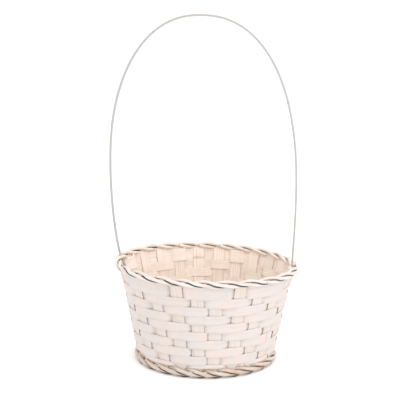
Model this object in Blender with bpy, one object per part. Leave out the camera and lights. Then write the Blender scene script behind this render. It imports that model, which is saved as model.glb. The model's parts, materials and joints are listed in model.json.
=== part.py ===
"""Flower girl basket: a round bowl woven from flat bamboo splints, with one tall hoop handle.

Twelve long strips cross one another in the base, turn up at the foot and stand as twenty-four
stakes. Ten weavers ring the stakes in a two-over, one-under twill. A rope of three round rods
is twined about the stakes at the foot and another at the rim. The hoop's two legs are tucked
down inside the wall, between the stakes and the weavers.

Metres, +Z up. The origin is the middle of the base's underside, and the hoop stands in the XZ
plane. Stakes are counted round from +X, about 15 degrees apart.
"""

import math
from dataclasses import dataclass

import bmesh
import bpy
import numpy as np

# Overall sizes.
RIM_RADIUS = 0.0903  # middle of the stakes, in the rim's rope
FOOT_RADIUS = 0.0692  # middle of the stakes, in the foot's rope
BOWL_HEIGHT = 0.1023  # ground to the top of the rim's rope
OVERALL_HEIGHT = 0.350  # ground to the top of the hoop
RIM_DROP = 0.0022  # the rim is this much lower at its +X side than at its middle
RIM_FLARE = 0.0022  # how far the stakes turn out at the rim, past the wall's straight line
FLARE_HEIGHT = 0.022  # height below the rim's rope at which they start to turn out

# Splints.
STAKE_COUNT = 24
# How far each stake stands out of even spacing, in degrees, counted round from +X.
STAKE_WANDER = (
    (0.0, 0.4, 1.0, 0.0, 0.4, -0.4, -1.8, -1.6, -1.8, -2.4, -1.6, -0.6)
    + (0.0, 0.4, 0.8, 1.2, 3.2, 3.6, 2.0, -1.2, -0.8, -1.8, -1.4, -0.4)
)
STRIP_WIDTH = 0.012
STRIP_THICKNESS = 0.0008
WEAVER_THICKNESS = 0.0008
FULL_ROWS = 9  # weavers of full width, over one narrow weaver at the foot
NARROW_ROW = 0.0043
ROW_GAP = 0.0003
FLOAT_SWELL = 0.0008  # how far a weaver stands off where it passes over two stakes
GAP = 0.0003  # clearance between pieces that touch
FOOT_GAP = 0.0007  # foot rope to the lowest weaver
RIM_GAP = 0.0018  # highest weaver to the rim rope

# Rods of the two ropes.
RIM_ROD_RADIUS = 0.0016
FOOT_ROD_RADIUS = 0.0018
ROD_GAP = 0.0008  # between the rods of one rope
ROD_LAY = math.radians(48)  # how the three rods nest where they cross
PASSAGE = 5.0  # the least space between two stakes, in rod radii
PARING = 0.0006  # a rod lies straight this far past a stake's edge

# Base lattice.
STRIPS_EACH_SIDE = 3  # strips along X each side of the middle one; one fewer along Y
LATTICE_SPREAD = 0.935  # the outermost strip's line, against the place where it ends
LATTICE_GAP = 0.0027  # between neighbouring strips
BEND_RADIUS = 0.003
CROSSING_MARGIN = 0.0012

# Hoop handle.
HANDLE_WIDTH = 0.0036
HANDLE_THICKNESS = 0.0019
HOOP_BULGE = 0.0062  # half the hoop's widest, past its leg at the stake's tip
HOOP_SHOULDER = 0.089  # height over the rim's rope at which the hoop is widest
HOOP_LEAN = 0.0066  # how far it leans to -X, at LEAN_HEIGHT over the stakes
LEAN_HEIGHT = 0.146
LEAN_POWER = 0.38  # under 1, so it leans most just over the rim
ARCH_POWER = 2.25  # 2 is an ellipse, and more is squarer
LOWER_POWER = 1.9
TUCK_ROW = 5  # the lowest row that holds a leg of the hoop
LEG_TAIL = 0.004

STAKE_STEP = 2 * math.pi / STAKE_COUNT
FLOAT = 3  # the weave repeats every three stakes
LEG_STAKES = (0, STAKE_COUNT // 2)
UP = np.array([0.0, 0.0, 1.0])

WHITEWASHED = (0.85, 0.76, 0.71)
SHADED_WHITEWASH = (0.83, 0.71, 0.60)
RUBBED_WHITEWASH = (0.70, 0.58, 0.49)
HANDLE_GREY = (0.66, 0.62, 0.57)


@dataclass(frozen=True)
class Rope:
    """Three round rods twined about the stakes, each outside two of them and inside the next."""

    rod_radius: float
    stake_radius: float

    @property
    def pitch(self):
        """Least distance between the middles of two rods."""
        return 2 * self.rod_radius + ROD_GAP

    @property
    def reach(self):
        """Middle of a stake to the middle of a rod that lies on it."""
        return STRIP_THICKNESS / 2 + GAP + self.rod_radius

    @property
    def climb(self):
        """Height over the rope's middle at which a rod passes between two stakes."""
        return self.pitch * math.cos(ROD_LAY)

    @property
    def swell(self):
        """How far out the third rod stands where the other two pass one another."""
        return self.pitch * math.sin(ROD_LAY)

    @property
    def half_height(self):
        return self.climb + self.rod_radius

    def stake_width(self, stake):
        """Strips are pared here, if need be, so that the rods can pass between them."""
        nearest = min(stake_spacing(stake), stake_spacing(stake - 1))
        return min(STRIP_WIDTH, self.stake_radius * nearest - PASSAGE * self.rod_radius)

    def on_stake(self, turn):
        """Out from the stake and up, at its two edges: first stake, second stake, then behind."""
        high = self.pitch / 2
        low = self.climb / 2
        lays = (
            ((self.reach, high), (self.reach, high)),
            ((self.reach, -high), (self.reach, -high)),
            ((-self.reach, -low), (-self.reach, low)),
        )
        return lays[turn]

    def behind_leg(self):
        """Out and up where a rod passes behind a leg of the hoop that lies on the stake."""
        return -self.reach - HANDLE_THICKNESS - GAP, 0.0

    def after_stake(self, turn):
        """Out and up, half way to the next stake: falling, going in under, coming out over."""
        return ((self.swell, 0.0), (0.0, -self.climb), (0.0, self.climb))[turn]


FOOT_ROPE = Rope(FOOT_ROD_RADIUS, FOOT_RADIUS)
RIM_ROPE = Rope(RIM_ROD_RADIUS, RIM_RADIUS)
FOOT_Z = FOOT_ROPE.half_height
RIM_Z = BOWL_HEIGHT - RIM_ROPE.half_height
WALL_SLOPE = (RIM_RADIUS - FOOT_RADIUS - RIM_FLARE) / (RIM_Z - FOOT_Z)
WALL_BOTTOM = 2 * FOOT_ROPE.half_height + FOOT_GAP
WALL_TOP = RIM_Z - RIM_ROPE.half_height - RIM_GAP
ROW_PITCH = (WALL_TOP - WALL_BOTTOM - NARROW_ROW) / FULL_ROWS
WEAVE_OFFSET = STRIP_THICKNESS / 2 + GAP + WEAVER_THICKNESS / 2
LEG_OFFSET = STRIP_THICKNESS / 2 + GAP + HANDLE_THICKNESS / 2


def stake_angle(stake):
    return stake * STAKE_STEP + math.radians(STAKE_WANDER[stake % STAKE_COUNT])


def stake_spacing(stake):
    """Angle from a stake to the next one round."""
    return stake_angle(stake + 1) - stake_angle(stake)


def gap_angle(stake):
    """Half way from a stake to the next one."""
    return (stake_angle(stake) + stake_angle(stake + 1)) / 2


def stake_radius(height):
    """Distance from the bowl's axis to the middle of a stake."""
    straight = FOOT_RADIUS + WALL_SLOPE * (height - FOOT_Z)
    turned = max(0.0, 1 + (height - RIM_Z) / FLARE_HEIGHT)
    return straight + RIM_FLARE * turned**2


def stake_slope(height):
    """How fast that distance grows with height."""
    turned = max(0.0, 1 + (height - RIM_Z) / FLARE_HEIGHT)
    return WALL_SLOPE + 2 * RIM_FLARE * turned / FLARE_HEIGHT


def outward(angle):
    return np.array([math.cos(angle), math.sin(angle), 0.0])


def sideways(angle):
    return np.array([-math.sin(angle), math.cos(angle), 0.0])


def wall_normal(angle, height):
    """Square to the stake's face, away from the axis."""
    lean = math.atan(stake_slope(height))
    return math.cos(lean) * outward(angle) - math.sin(lean) * UP


def wall_up(angle, height):
    lean = math.atan(stake_slope(height))
    return math.sin(lean) * outward(angle) + math.cos(lean) * UP


def settled(point):
    """The same point of the basket as it stands, with its rim a little lower at +X."""
    share = min(1.0, max(0.0, (point[2] - FOOT_Z) / (RIM_Z - FOOT_Z)))
    drop = RIM_DROP * share**2 * point[0] / RIM_RADIUS
    return point - drop * UP


def flat_section(centre, side, normal, width, thickness):
    """The four corners of a splint's section."""
    across = side * width / 2
    through = normal * thickness / 2
    signs = ((1, 1), (-1, 1), (-1, -1), (1, -1))
    return [centre + a * across + b * through for a, b in signs]


def material(name, colour, roughness):
    finish = bpy.data.materials.new(name)
    finish.use_nodes = True
    shader = finish.node_tree.nodes["Principled BSDF"]
    shader.inputs["Base Color"].default_value = (*colour, 1.0)
    shader.inputs["Roughness"].default_value = roughness
    shader.inputs["Metallic"].default_value = 0.0
    return finish


def skin(name, sections, finish, ring):
    """One body that passes through the sections in turn: a closed ring, or a bar with two ends."""
    body = bmesh.new()
    rows = [[body.verts.new(settled(point)) for point in section] for section in sections]
    pairs = list(zip(rows, rows[1:]))
    if ring:
        pairs.append((rows[-1], rows[0]))
    else:
        body.faces.new(rows[0])
        body.faces.new(rows[-1])
    count = len(rows[0])
    for near, far in pairs:
        for i in range(count):
            k = (i + 1) % count
            body.faces.new((near[i], near[k], far[k], far[i]))
    bmesh.ops.recalc_face_normals(body, faces=body.faces)
    if body.calc_volume(signed=True) < 0:
        bmesh.ops.reverse_faces(body, faces=body.faces)
    mesh = bpy.data.meshes.new(name)
    body.to_mesh(mesh)
    body.free()
    mesh.materials.append(finish)
    piece = bpy.data.objects.new(name, mesh)
    bpy.context.collection.objects.link(piece)
    return piece


@dataclass(frozen=True)
class LatticeStrip:
    """Half of one base strip: it runs along its own axis, then spreads to leave the base radially.

    number counts the strips of its family from the middle one, family is 0 along X and 1 along Y,
    side is 1 for the half towards +X or +Y and -1 for the other, and stake is what it becomes.
    """

    number: int
    family: int
    side: int
    stake: int

    @property
    def heading(self):
        """Direction of its axis, away from the middle."""
        return self.family * math.pi / 2 + (0.0 if self.side == 1 else math.pi)

    @property
    def end_angle(self):
        """Where it ends, from its axis."""
        turn = stake_angle(self.stake) - self.heading
        return (turn + math.pi) % (2 * math.pi) - math.pi

    @property
    def end(self):
        """Where it starts to bend up, along its axis and across it."""
        radius = bend_axis_radius()
        return radius * math.cos(self.end_angle), radius * math.sin(self.end_angle)

    @property
    def line(self):
        """How far from the middle it lies in the lattice."""
        return self.side * self.number * lattice_pitch()

    def spread_start(self, crossings):
        return crossings[-1] + base_width() / 2 + CROSSING_MARGIN

    def across(self, along, start):
        """Sideways place and slope: straight, then a cubic that ends radially."""
        length, side = self.end
        if along <= start:
            return self.line, 0.0
        t = (along - start) / (length - start)
        slope = math.tan(self.end_angle) * (length - start)
        rise = side - self.line
        place = self.line + rise * (3 * t**2 - 2 * t**3) + slope * (t**3 - t**2)
        steepness = rise * (6 * t - 6 * t**2) + slope * (3 * t**2 - 2 * t)
        return place, steepness / (length - start)


def bend_axis_radius():
    """Distance from the bowl's axis to the axis that the strips bend about."""
    lean = math.atan(WALL_SLOPE)
    height = STRIP_THICKNESS / 2 + BEND_RADIUS * (1 - math.sin(lean))
    return stake_radius(height) - BEND_RADIUS * math.cos(lean)


def lattice_pitch():
    end = bend_axis_radius() * math.sin(STRIPS_EACH_SIDE * STAKE_STEP)
    return LATTICE_SPREAD * end / STRIPS_EACH_SIDE


def base_width():
    return min(STRIP_WIDTH, lattice_pitch() - LATTICE_GAP)


def strip_level(high):
    """Height of a strip's middle in the lattice."""
    return STRIP_THICKNESS / 2 + (STRIP_THICKNESS + GAP if high else 0.0)


def base_sections(strip, others):
    """Sections of half a strip in the base, from the middle outwards."""
    crossings = [number * lattice_pitch() for number in range(others + 1)]
    start = strip.spread_start(crossings)
    stations = []
    for number, crossing in enumerate(crossings):
        over = (number + strip.number + strip.family) % 2 == 0
        for edge in (-1, 1):
            along = crossing + edge * base_width() / 2
            if along > 0:
                stations.append((along, strip_level(over)))
    stations.append((start, stations[-1][1]))
    length = strip.end[0]
    for share in (0.3, 0.55, 0.8):
        stations.append((start + share * (length - start), strip_level(False)))
    sections = []
    for along, level in stations:
        place, slope = strip.across(along, start)
        turn = strip.heading + math.atan(slope)
        centre = along * outward(strip.heading) + place * sideways(strip.heading) + level * UP
        sections.append(flat_section(centre, sideways(turn), UP, base_width(), STRIP_THICKNESS))
    return sections


def bend_sections(stake):
    """Sections where a strip turns up from the base into the wall."""
    lean = math.atan(WALL_SLOPE)
    angle = stake_angle(stake)
    width = FOOT_ROPE.stake_width(stake)
    sections = []
    for share in (0.0, 1 / 3, 2 / 3, 1.0):
        turn = -math.pi / 2 + share * (math.pi / 2 - lean)
        away = math.cos(turn) * outward(angle) + math.sin(turn) * UP
        middle = bend_axis_radius() * outward(angle) + strip_level(False) * UP + BEND_RADIUS * UP
        centre = middle + BEND_RADIUS * away
        sections.append(flat_section(centre, sideways(angle), -away, width, STRIP_THICKNESS))
    return sections


def stake_section(stake, height, width):
    angle = stake_angle(stake)
    centre = stake_radius(height) * outward(angle) + height * UP
    inward = -wall_normal(angle, height)
    return flat_section(centre, sideways(angle), inward, width, STRIP_THICKNESS)


def flare_heights():
    """Heights at which a stake turns out under the rim's rope."""
    start = RIM_Z - FLARE_HEIGHT
    return [start + share * (rope_heights()[0] - start) for share in (0.0, 0.45, 0.85)]


def rope_heights():
    """Heights of a stake's sections in the rim's rope. The last is its tip."""
    return [RIM_Z - RIM_ROPE.half_height, RIM_Z, RIM_Z + RIM_ROPE.climb / 2]


def wall_sections(stake):
    """Sections of a stake, from the foot's rope up into the rim's rope."""
    at_foot, at_rim = FOOT_ROPE.stake_width(stake), RIM_ROPE.stake_width(stake)
    sections = [stake_section(stake, 2 * FOOT_ROPE.half_height, at_foot)]
    sections.append(stake_section(stake, WALL_BOTTOM + NARROW_ROW / 2, STRIP_WIDTH))
    for height in flare_heights():
        sections.append(stake_section(stake, height, STRIP_WIDTH))
    for height in rope_heights():
        sections.append(stake_section(stake, height, at_rim))
    return sections


def half_strip(number, family, side, stake):
    strip = LatticeStrip(number, family, side, stake)
    others = STRIPS_EACH_SIDE - 1 if family == 0 else STRIPS_EACH_SIDE
    return base_sections(strip, others) + bend_sections(stake) + wall_sections(stake)


def turned_back(sections):
    """The same sections from far to near, with each one's corners in the other half's order."""
    return [[b, a, d, c] for a, b, c, d in reversed(sections)]


def make_strip(name, number, family, finish):
    """A whole strip, from one stake's tip through the base to the other stake's tip."""
    quarter = family * STAKE_COUNT // 4
    ahead = half_strip(number, family, 1, quarter + number)
    behind = half_strip(number, family, -1, quarter + STAKE_COUNT // 2 - number)
    skin(name, turned_back(behind) + ahead, finish, ring=False)


def make_strips(finish):
    for family, title in enumerate(("side_to_side_strip", "front_to_back_strip")):
        each_side = STRIPS_EACH_SIDE - family
        for i, number in enumerate(range(-each_side, each_side + 1)):
            make_strip(f"{title}_{i + 1}", number, family, finish)


def row_heights(row):
    """Bottom and top of a weaver. Row 0 is the narrow one at the foot."""
    if row == 0:
        return WALL_BOTTOM, WALL_BOTTOM + NARROW_ROW - ROW_GAP
    bottom = WALL_BOTTOM + NARROW_ROW + (row - 1) * ROW_PITCH
    return bottom, bottom + ROW_PITCH - ROW_GAP


def passes_inside(row, stake):
    return (row + stake) % FLOAT == FLOAT - 1


def leg_bottom():
    return row_heights(TUCK_ROW)[0] - LEG_TAIL


def holds_leg(row, stake):
    tucked = stake in LEG_STAKES and passes_inside(row, stake)
    return tucked and row_heights(row)[0] > leg_bottom()


def weaver_section(row, angle, aside, offset):
    """A weaver's section at a place beside a stake, a distance out from the stake's middle."""
    points = []
    bottom, top = row_heights(row)
    for height, side in ((top, 1), (top, -1), (bottom, -1), (bottom, 1)):
        lean = math.atan(stake_slope(height))
        distance = (offset + side * WEAVER_THICKNESS / 2) / math.cos(lean)
        place = (stake_radius(height) + distance) * outward(angle) + height * UP
        points.append(place + aside * sideways(angle))
    return points


def weaver_at_stake(row, stake):
    """Sections where a weaver lies flat on a stake, or on a leg of the hoop over the stake."""
    angle = stake_angle(stake)
    edge = STRIP_WIDTH / 2 + GAP
    if holds_leg(row, stake):
        over_leg = -(LEG_OFFSET + HANDLE_THICKNESS / 2 + GAP + WEAVER_THICKNESS / 2)
        near_edge = (over_leg - WEAVE_OFFSET) / 2
        leg_edge = HANDLE_WIDTH / 2 + GAP
        places = ((-edge, near_edge), (-leg_edge, over_leg), (leg_edge, over_leg), (edge, near_edge))
    else:
        offset = -WEAVE_OFFSET if passes_inside(row, stake) else WEAVE_OFFSET
        places = ((-edge, offset), (edge, offset))
    return [weaver_section(row, angle, aside, offset) for aside, offset in places]


def weaver_in_gap(row, stake):
    """The section half way to the next stake: swelling out over a float, level at a crossing."""
    crossing = passes_inside(row, stake) or passes_inside(row, stake + 1)
    offset = 0.0 if crossing else WEAVE_OFFSET + FLOAT_SWELL
    return weaver_section(row, gap_angle(stake), 0.0, offset)


def make_weavers(finish):
    for row in range(FULL_ROWS + 1):
        sections = []
        for stake in range(STAKE_COUNT):
            sections += weaver_at_stake(row, stake)
            sections.append(weaver_in_gap(row, stake))
        skin(f"weaver_row_{row}", sections, finish, ring=True)


def rod_points(rope, height, rod):
    """The middle line of one rod. Each rod is one stake behind the last."""
    points = []
    for stake in range(STAKE_COUNT):
        turn = (stake + rod) % FLOAT
        angle = stake_angle(stake)
        edge = rope.stake_width(stake) / 2 + PARING
        before, after = rope.on_stake(turn)
        lays = [(-edge, before), (edge, after)]
        if rope is RIM_ROPE and stake in LEG_STAKES and turn == FLOAT - 1:
            leg_edge = HANDLE_WIDTH / 2 + PARING
            lays[1:1] = [(-leg_edge, rope.behind_leg()), (leg_edge, rope.behind_leg())]
        for aside, lay in lays:
            points.append(rod_point(rope, height, angle, lay) + aside * sideways(angle))
        points.append(rod_point(rope, height, gap_angle(stake), rope.after_stake(turn)))
    return points


def rod_point(rope, height, angle, lay):
    out, up = lay
    middle = rope.stake_radius * outward(angle) + height * UP
    return middle + out * wall_normal(angle, height) + up * wall_up(angle, height)


def make_rod(name, points, radius, finish):
    """A round rod as a closed tube along the points."""
    line = bpy.data.curves.new(name, "CURVE")
    line.dimensions = "3D"
    line.twist_mode = "Z_UP"
    line.bevel_depth = radius
    line.bevel_resolution = 1
    spline = line.splines.new("POLY")
    spline.points.add(len(points) - 1)
    for control, point in zip(spline.points, points):
        control.co = (*settled(point), 1.0)
    spline.use_cyclic_u = True
    line.materials.append(finish)
    bpy.context.collection.objects.link(bpy.data.objects.new(name, line))


def make_ropes(finish):
    for place, rope, height in (("foot", FOOT_ROPE, FOOT_Z), ("rim", RIM_ROPE, RIM_Z)):
        for rod in range(FLOAT):
            points = rod_points(rope, height, rod)
            make_rod(f"{place}_rod_{rod + 1}", points, rope.rod_radius, finish)


def leg_points():
    """Middle line of a leg from its tip to the stake's, as distances out and heights."""
    straight = np.linspace(leg_bottom(), flare_heights()[0], 4)
    points = []
    for height in [*straight[:-1], *flare_heights(), *rope_heights()]:
        lean = math.atan(stake_slope(height))
        points.append((stake_radius(height) - LEG_OFFSET / math.cos(lean), height))
    return points


def hoop_points():
    """Middle line of half the hoop over its leg: it widens to its shoulder, then arches over."""
    start, foot = leg_points()[-1]
    shoulder = RIM_Z + HOOP_SHOULDER
    widest = start + HOOP_BULGE
    points = []
    for share in (0.05, 0.14, 0.27, 0.43, 0.6, 0.8):
        out = widest - HOOP_BULGE * (1 - share) ** LOWER_POWER
        points.append((out, foot + share * (shoulder - foot)))
    rise = OVERALL_HEIGHT - HANDLE_THICKNESS / 2 - shoulder
    for turn in np.linspace(0.0, math.pi / 2, 15):
        out = widest * math.cos(turn) ** (2 / ARCH_POWER)
        points.append((out, shoulder + rise * math.sin(turn) ** (2 / ARCH_POWER)))
    return points


def hoop_lean(heights):
    """How far the hoop leans to -X: nothing on the stakes, then quickly, and then no more."""
    share = np.clip((heights - rope_heights()[-1]) / LEAN_HEIGHT, 0.0, 1.0)
    return HOOP_LEAN * share**LEAN_POWER


def make_hoop(finish):
    """The whole hoop, one bent strip from tip to tip, leaning a little to -X."""
    half = np.array(leg_points() + hoop_points())
    left = half[:-1] * (-1, 1)
    line = np.concatenate([half, left[::-1]])
    line[:, 0] -= hoop_lean(line[:, 1])
    heading = np.gradient(line, axis=0)
    heading /= np.linalg.norm(heading, axis=1)[:, None]
    side = np.array([0.0, 1.0, 0.0])
    sections = []
    for (out, height), (along, rise) in zip(line, heading):
        centre = np.array([out, 0.0, height])
        normal = np.array([rise, 0.0, -along])
        sections.append(flat_section(centre, side, normal, HANDLE_WIDTH, HANDLE_THICKNESS))
    skin("hoop_handle", sections, finish, ring=False)


def clear_scene():
    for thing in list(bpy.data.objects):
        bpy.data.objects.remove(thing)


def main():
    clear_scene()
    make_strips(material("strip_whitewash", SHADED_WHITEWASH, 0.6))
    make_weavers(material("weaver_whitewash", WHITEWASHED, 0.55))
    make_ropes(material("rod_whitewash", RUBBED_WHITEWASH, 0.6))
    make_hoop(material("handle_whitewash", HANDLE_GREY, 0.55))


main()
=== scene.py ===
"""Looks of the flower girl basket: a round bowl woven from whitewashed bamboo splints.

Twelve long splints cross in the base and stand up as twenty-four stakes. Ten rows of splint are
woven round them in a two-over, one-under twill, a rope of three canes is twined about them at the
foot and another at the rim, and one tall thin hoop has its legs tucked down inside the wall.

Every piece is a profile carried along a path, worked out with numpy as whole arrays. All sizes
are in metres, with +Z up and the middle of the base's underside at the origin.
"""

import json
import logging
import math
from dataclasses import dataclass, field
from enum import Enum, IntEnum
from typing import Any

import bpy
import numpy as np
from mathutils import Matrix, Vector


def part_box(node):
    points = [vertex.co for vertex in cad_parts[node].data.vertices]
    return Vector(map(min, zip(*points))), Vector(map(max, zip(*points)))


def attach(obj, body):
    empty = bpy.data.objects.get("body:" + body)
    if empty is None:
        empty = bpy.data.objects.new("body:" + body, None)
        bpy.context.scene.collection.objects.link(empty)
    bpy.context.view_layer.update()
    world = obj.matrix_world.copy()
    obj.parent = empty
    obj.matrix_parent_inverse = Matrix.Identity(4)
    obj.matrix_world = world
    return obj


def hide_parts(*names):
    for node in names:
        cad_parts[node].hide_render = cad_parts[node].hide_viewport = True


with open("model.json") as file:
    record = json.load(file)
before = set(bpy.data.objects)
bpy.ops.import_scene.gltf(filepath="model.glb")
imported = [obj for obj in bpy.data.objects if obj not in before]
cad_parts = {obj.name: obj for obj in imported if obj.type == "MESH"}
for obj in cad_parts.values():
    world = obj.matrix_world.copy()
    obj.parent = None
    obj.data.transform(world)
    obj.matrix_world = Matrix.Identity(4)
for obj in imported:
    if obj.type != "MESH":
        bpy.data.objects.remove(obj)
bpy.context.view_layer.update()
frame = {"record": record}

Array = np.ndarray
LOG = logging.getLogger("basket")
UP = np.array([0.0, 0.0, 1.0])
MM = 0.001


class Place(Enum):
    """The two ropes of twined cane."""

    FOOT = "foot"
    RIM = "rim"


class Family(Enum):
    """The two families of long splints that cross in the base."""

    SIDE_TO_SIDE = 0
    FRONT_TO_BACK = 1


class Seed(IntEnum):
    """First seed of each kind of unevenness. A piece's own number is added to it."""

    SPLINT_WIDTH = 100
    SPLINT_JOINTS = 100
    SPLINT_THICKNESS = 101
    SPLINT_TONE = 103
    SPLINT_FAMILY = 20  # from a splint of one family to the same one of the other
    ROW_SWELL = 400
    ROW_HEIGHT = 500
    ROW_WIDTH = 520
    ROW_THICKNESS = 540
    ROW_JOINTS = 560
    ROW_TONE = 580
    CANE_LINE = 700
    CANE_SIZE = 701
    CANE_JOINTS = 760
    CANE_TONE = 760
    CANE_SEAM = 762
    CANE_STEP = 10  # from one cane of a rope to the next
    RIM_ROPE = 5  # from a cane of the foot's rope to the same one of the rim's
    HOOP_LINE = 901
    HOOP_WIDTH = 902
    HOOP_THICKNESS = 903
    HOOP_JOINTS = 905
    HOOP_TONE = 906


# ---- Numbers along a length ----


def eased(keys: Array, values: Array, at: Array) -> Array:
    """Smooth numbers through given ones, which never swing past them.

    A cubic runs between each two keys. Its slope at a key is the harmonic mean of the slopes on
    both sides, and nothing where those differ in sign.

    Args:
        keys: Rising places, one for each value.
        values: A number or a row of numbers at each key.
        at: The places to read.

    Returns:
        The numbers, or rows of numbers, at those places.
    """
    values = np.asarray(values, float)
    rows = values.reshape(len(keys), -1)
    step = np.diff(keys)[:, None]
    slope = np.diff(rows, axis=0) / step
    before, after = slope[:-1], slope[1:]
    same = before * after > 0
    near = 2 * step[1:] + step[:-1]
    far = step[1:] + 2 * step[:-1]
    safe_before, safe_after = np.where(same, before, 1.0), np.where(same, after, 1.0)
    middle = np.where(same, (near + far) / (near / safe_before + far / safe_after), 0.0)
    slopes = np.concatenate([slope[:1], middle, slope[-1:]])
    index = np.clip(np.searchsorted(keys, at, side="right") - 1, 0, len(keys) - 2)
    width = step[index]
    t = ((at - keys[index])[:, None]) / width
    start = (1 + 2 * t) * (1 - t) ** 2 * rows[index] + t * (1 - t) ** 2 * width * slopes[index]
    end = t**2 * (3 - 2 * t) * rows[index + 1] + t**2 * (t - 1) * width * slopes[index + 1]
    return (start + end).reshape((len(at), *values.shape[1:]))


def smooth_step(low: float, high: float, value: Array) -> Array:
    """0 up to low, 1 from high on, and a smooth cubic between."""
    t = np.clip((value - low) / (high - low), 0.0, 1.0)
    return t * t * (3 - 2 * t)


def distances(points: Array) -> Array:
    """Length of the line through the points, up to each of them."""
    steps = np.linalg.norm(np.diff(points, axis=0), axis=1)
    return np.concatenate([[0.0], np.cumsum(steps)])


@dataclass(frozen=True)
class Wobble:
    """Hand-made irregularity: a sum of sines over a piece's length, with seeded phases.

    Attributes:
        size: About the most that it reaches to either side.
        waves: About how many waves there are along the whole piece.
        seed: Picks the phases.
    """

    size: float
    waves: int
    seed: int

    def at(self, share: Array) -> Array:
        """The offset at each share, 0 to 1, of the piece's length."""
        dice = np.random.default_rng(self.seed)
        counts = dice.integers(max(1, self.waves // 2), 2 * self.waves + 1, 5)
        phases = dice.uniform(0, 2 * math.pi, 5)
        waves = np.sin(2 * math.pi * counts * share[..., None] + phases)
        return self.size * waves.sum(-1) / 2.5


def unit(vectors: Array) -> Array:
    """The same directions with length 1."""
    return vectors / np.linalg.norm(vectors, axis=-1, keepdims=True)


# ---- The bowl that every piece follows ----


@dataclass(frozen=True)
class Bowl:
    """The bowl's shape, and what its stakes, rows and ropes share.

    The shape is that of the frame. Splints are thinner than the frame's and closer together.

    Attributes:
        rim_radius: Axis to the middle of the stakes, in the rim's rope.
        foot_radius: The same in the foot's rope.
        height: Ground to the top of the rim's rope.
        rim_drop: How much lower the rim is at its +X side than at its middle.
        rim_flare: How far the stakes turn out at the rim, past the wall's straight line.
        flare_height: Height below the rim's rope at which they start to turn out.
        wander: How far each stake is out of even spacing, in degrees, counted round from +X.
        gap: Clearance between pieces that lie on one another.
        rim_climb: Most height over the rope's middle that a rim cane reaches.
        foot_climb: The same for a foot cane.
        rim_tuck: Middle of the rim's rope to the place where rows and full stakes end under it.
        rim_rope: Height that the rim's rope takes up in the wall.
        foot_rope: The same for the foot's rope.
        pared: Width of a stake where it is pared to pass between canes.
        twill: Number of stakes after which the weave repeats, and of canes in a rope.
    """

    rim_radius: float = 0.0903
    foot_radius: float = 0.0692
    height: float = 0.1023
    rim_drop: float = 0.0022
    rim_flare: float = 0.0022
    flare_height: float = 0.022
    stakes: int = 24
    wander: tuple[float, ...] = (
        (0.0, 0.4, 1.0, 0.0, 0.4, -0.4, -1.8, -1.6, -1.8, -2.4, -1.6, -0.6)
        + (0.0, 0.4, 0.8, 1.2, 3.2, 3.6, 2.0, -1.2, -0.8, -1.8, -1.4, -0.4)
    )
    splint_width: float = 0.012
    splint_thickness: float = 0.00065
    full_rows: int = 9
    narrow_row: float = 0.0043
    row_gap: float = 0.0003
    gap: float = 0.00006
    foot_gap: float = 0.0007
    rim_gap: float = 0.0018
    rim_cane: float = 0.0016
    foot_cane: float = 0.0018
    rim_climb: float = 0.00215
    foot_climb: float = 0.0029
    rim_tuck: float = 0.0028
    rim_rope: float = 0.00855
    foot_rope: float = 0.00949
    pared: float = 0.0066
    twill: int = 3

    @property
    def step(self) -> float:
        """Even spacing of the stakes, as an angle."""
        return 2 * math.pi / self.stakes

    @property
    def foot_z(self) -> float:
        """Height of the middle of the foot's rope."""
        return self.foot_climb + self.foot_cane

    @property
    def rim_z(self) -> float:
        """Height of the middle of the rim's rope."""
        return self.height - self.rim_climb - self.rim_cane

    @property
    def wall_slope(self) -> float:
        """How fast the wall widens with height, below its flare."""
        return (self.rim_radius - self.foot_radius - self.rim_flare) / (self.rim_z - self.foot_z)

    @property
    def wall_bottom(self) -> float:
        """Lower edge of the lowest row."""
        return self.foot_rope + self.foot_gap

    @property
    def wall_top(self) -> float:
        """Upper edge of the highest row."""
        return self.height - self.rim_rope - self.rim_gap

    @property
    def row_pitch(self) -> float:
        """Height of a full row with its gap."""
        return (self.wall_top - self.wall_bottom - self.narrow_row) / self.full_rows

    @property
    def stake_top(self) -> float:
        """Height of the stakes' tips."""
        return self.rim_z + self.rim_climb / 2

    def angle(self, stake: Array) -> Array:
        """Direction of each stake, counted on past a whole turn."""
        stake = np.asarray(stake)
        return stake * self.step + np.radians(np.take(self.wander, stake % self.stakes))

    def gap_angle(self, stake: int) -> float:
        """Half way from a stake to the next one."""
        return float(self.angle(stake) + self.angle(stake + 1)) / 2

    def radius(self, height: Array) -> Array:
        """Axis to the middle of a stake: a cone, with a square-law flare under the rim."""
        turned = np.maximum(0.0, 1 + (height - self.rim_z) / self.flare_height)
        straight = self.foot_radius + self.wall_slope * (height - self.foot_z)
        return straight + self.rim_flare * turned**2

    def slope(self, height: Array) -> Array:
        """How fast that radius grows with height."""
        turned = np.maximum(0.0, 1 + (height - self.rim_z) / self.flare_height)
        return self.wall_slope + 2 * self.rim_flare * turned / self.flare_height

    def outward(self, angle: Array) -> Array:
        """Level direction away from the axis."""
        return np.stack([np.cos(angle), np.sin(angle), 0 * angle], -1)

    def sideways(self, angle: Array) -> Array:
        """Level direction round the bowl."""
        return np.stack([-np.sin(angle), np.cos(angle), 0 * angle], -1)

    def normal(self, angle: Array, height: Array) -> Array:
        """Square to the wall, away from the axis."""
        lean = np.arctan(self.slope(height))[..., None]
        return np.cos(lean) * self.outward(angle) - np.sin(lean) * UP

    def rising(self, angle: Array, height: Array) -> Array:
        """Up along the wall."""
        lean = np.arctan(self.slope(height))[..., None]
        return np.sin(lean) * self.outward(angle) + np.cos(lean) * UP

    def settled(self, points: Array) -> Array:
        """The points as the basket stands: sheared down at +X, by the square of the height."""
        share = np.clip((points[..., 2] - self.foot_z) / (self.rim_z - self.foot_z), 0.0, 1.0)
        moved = points.copy()
        moved[..., 2] -= self.rim_drop * share**2 * points[..., 0] / self.rim_radius
        return moved

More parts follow.
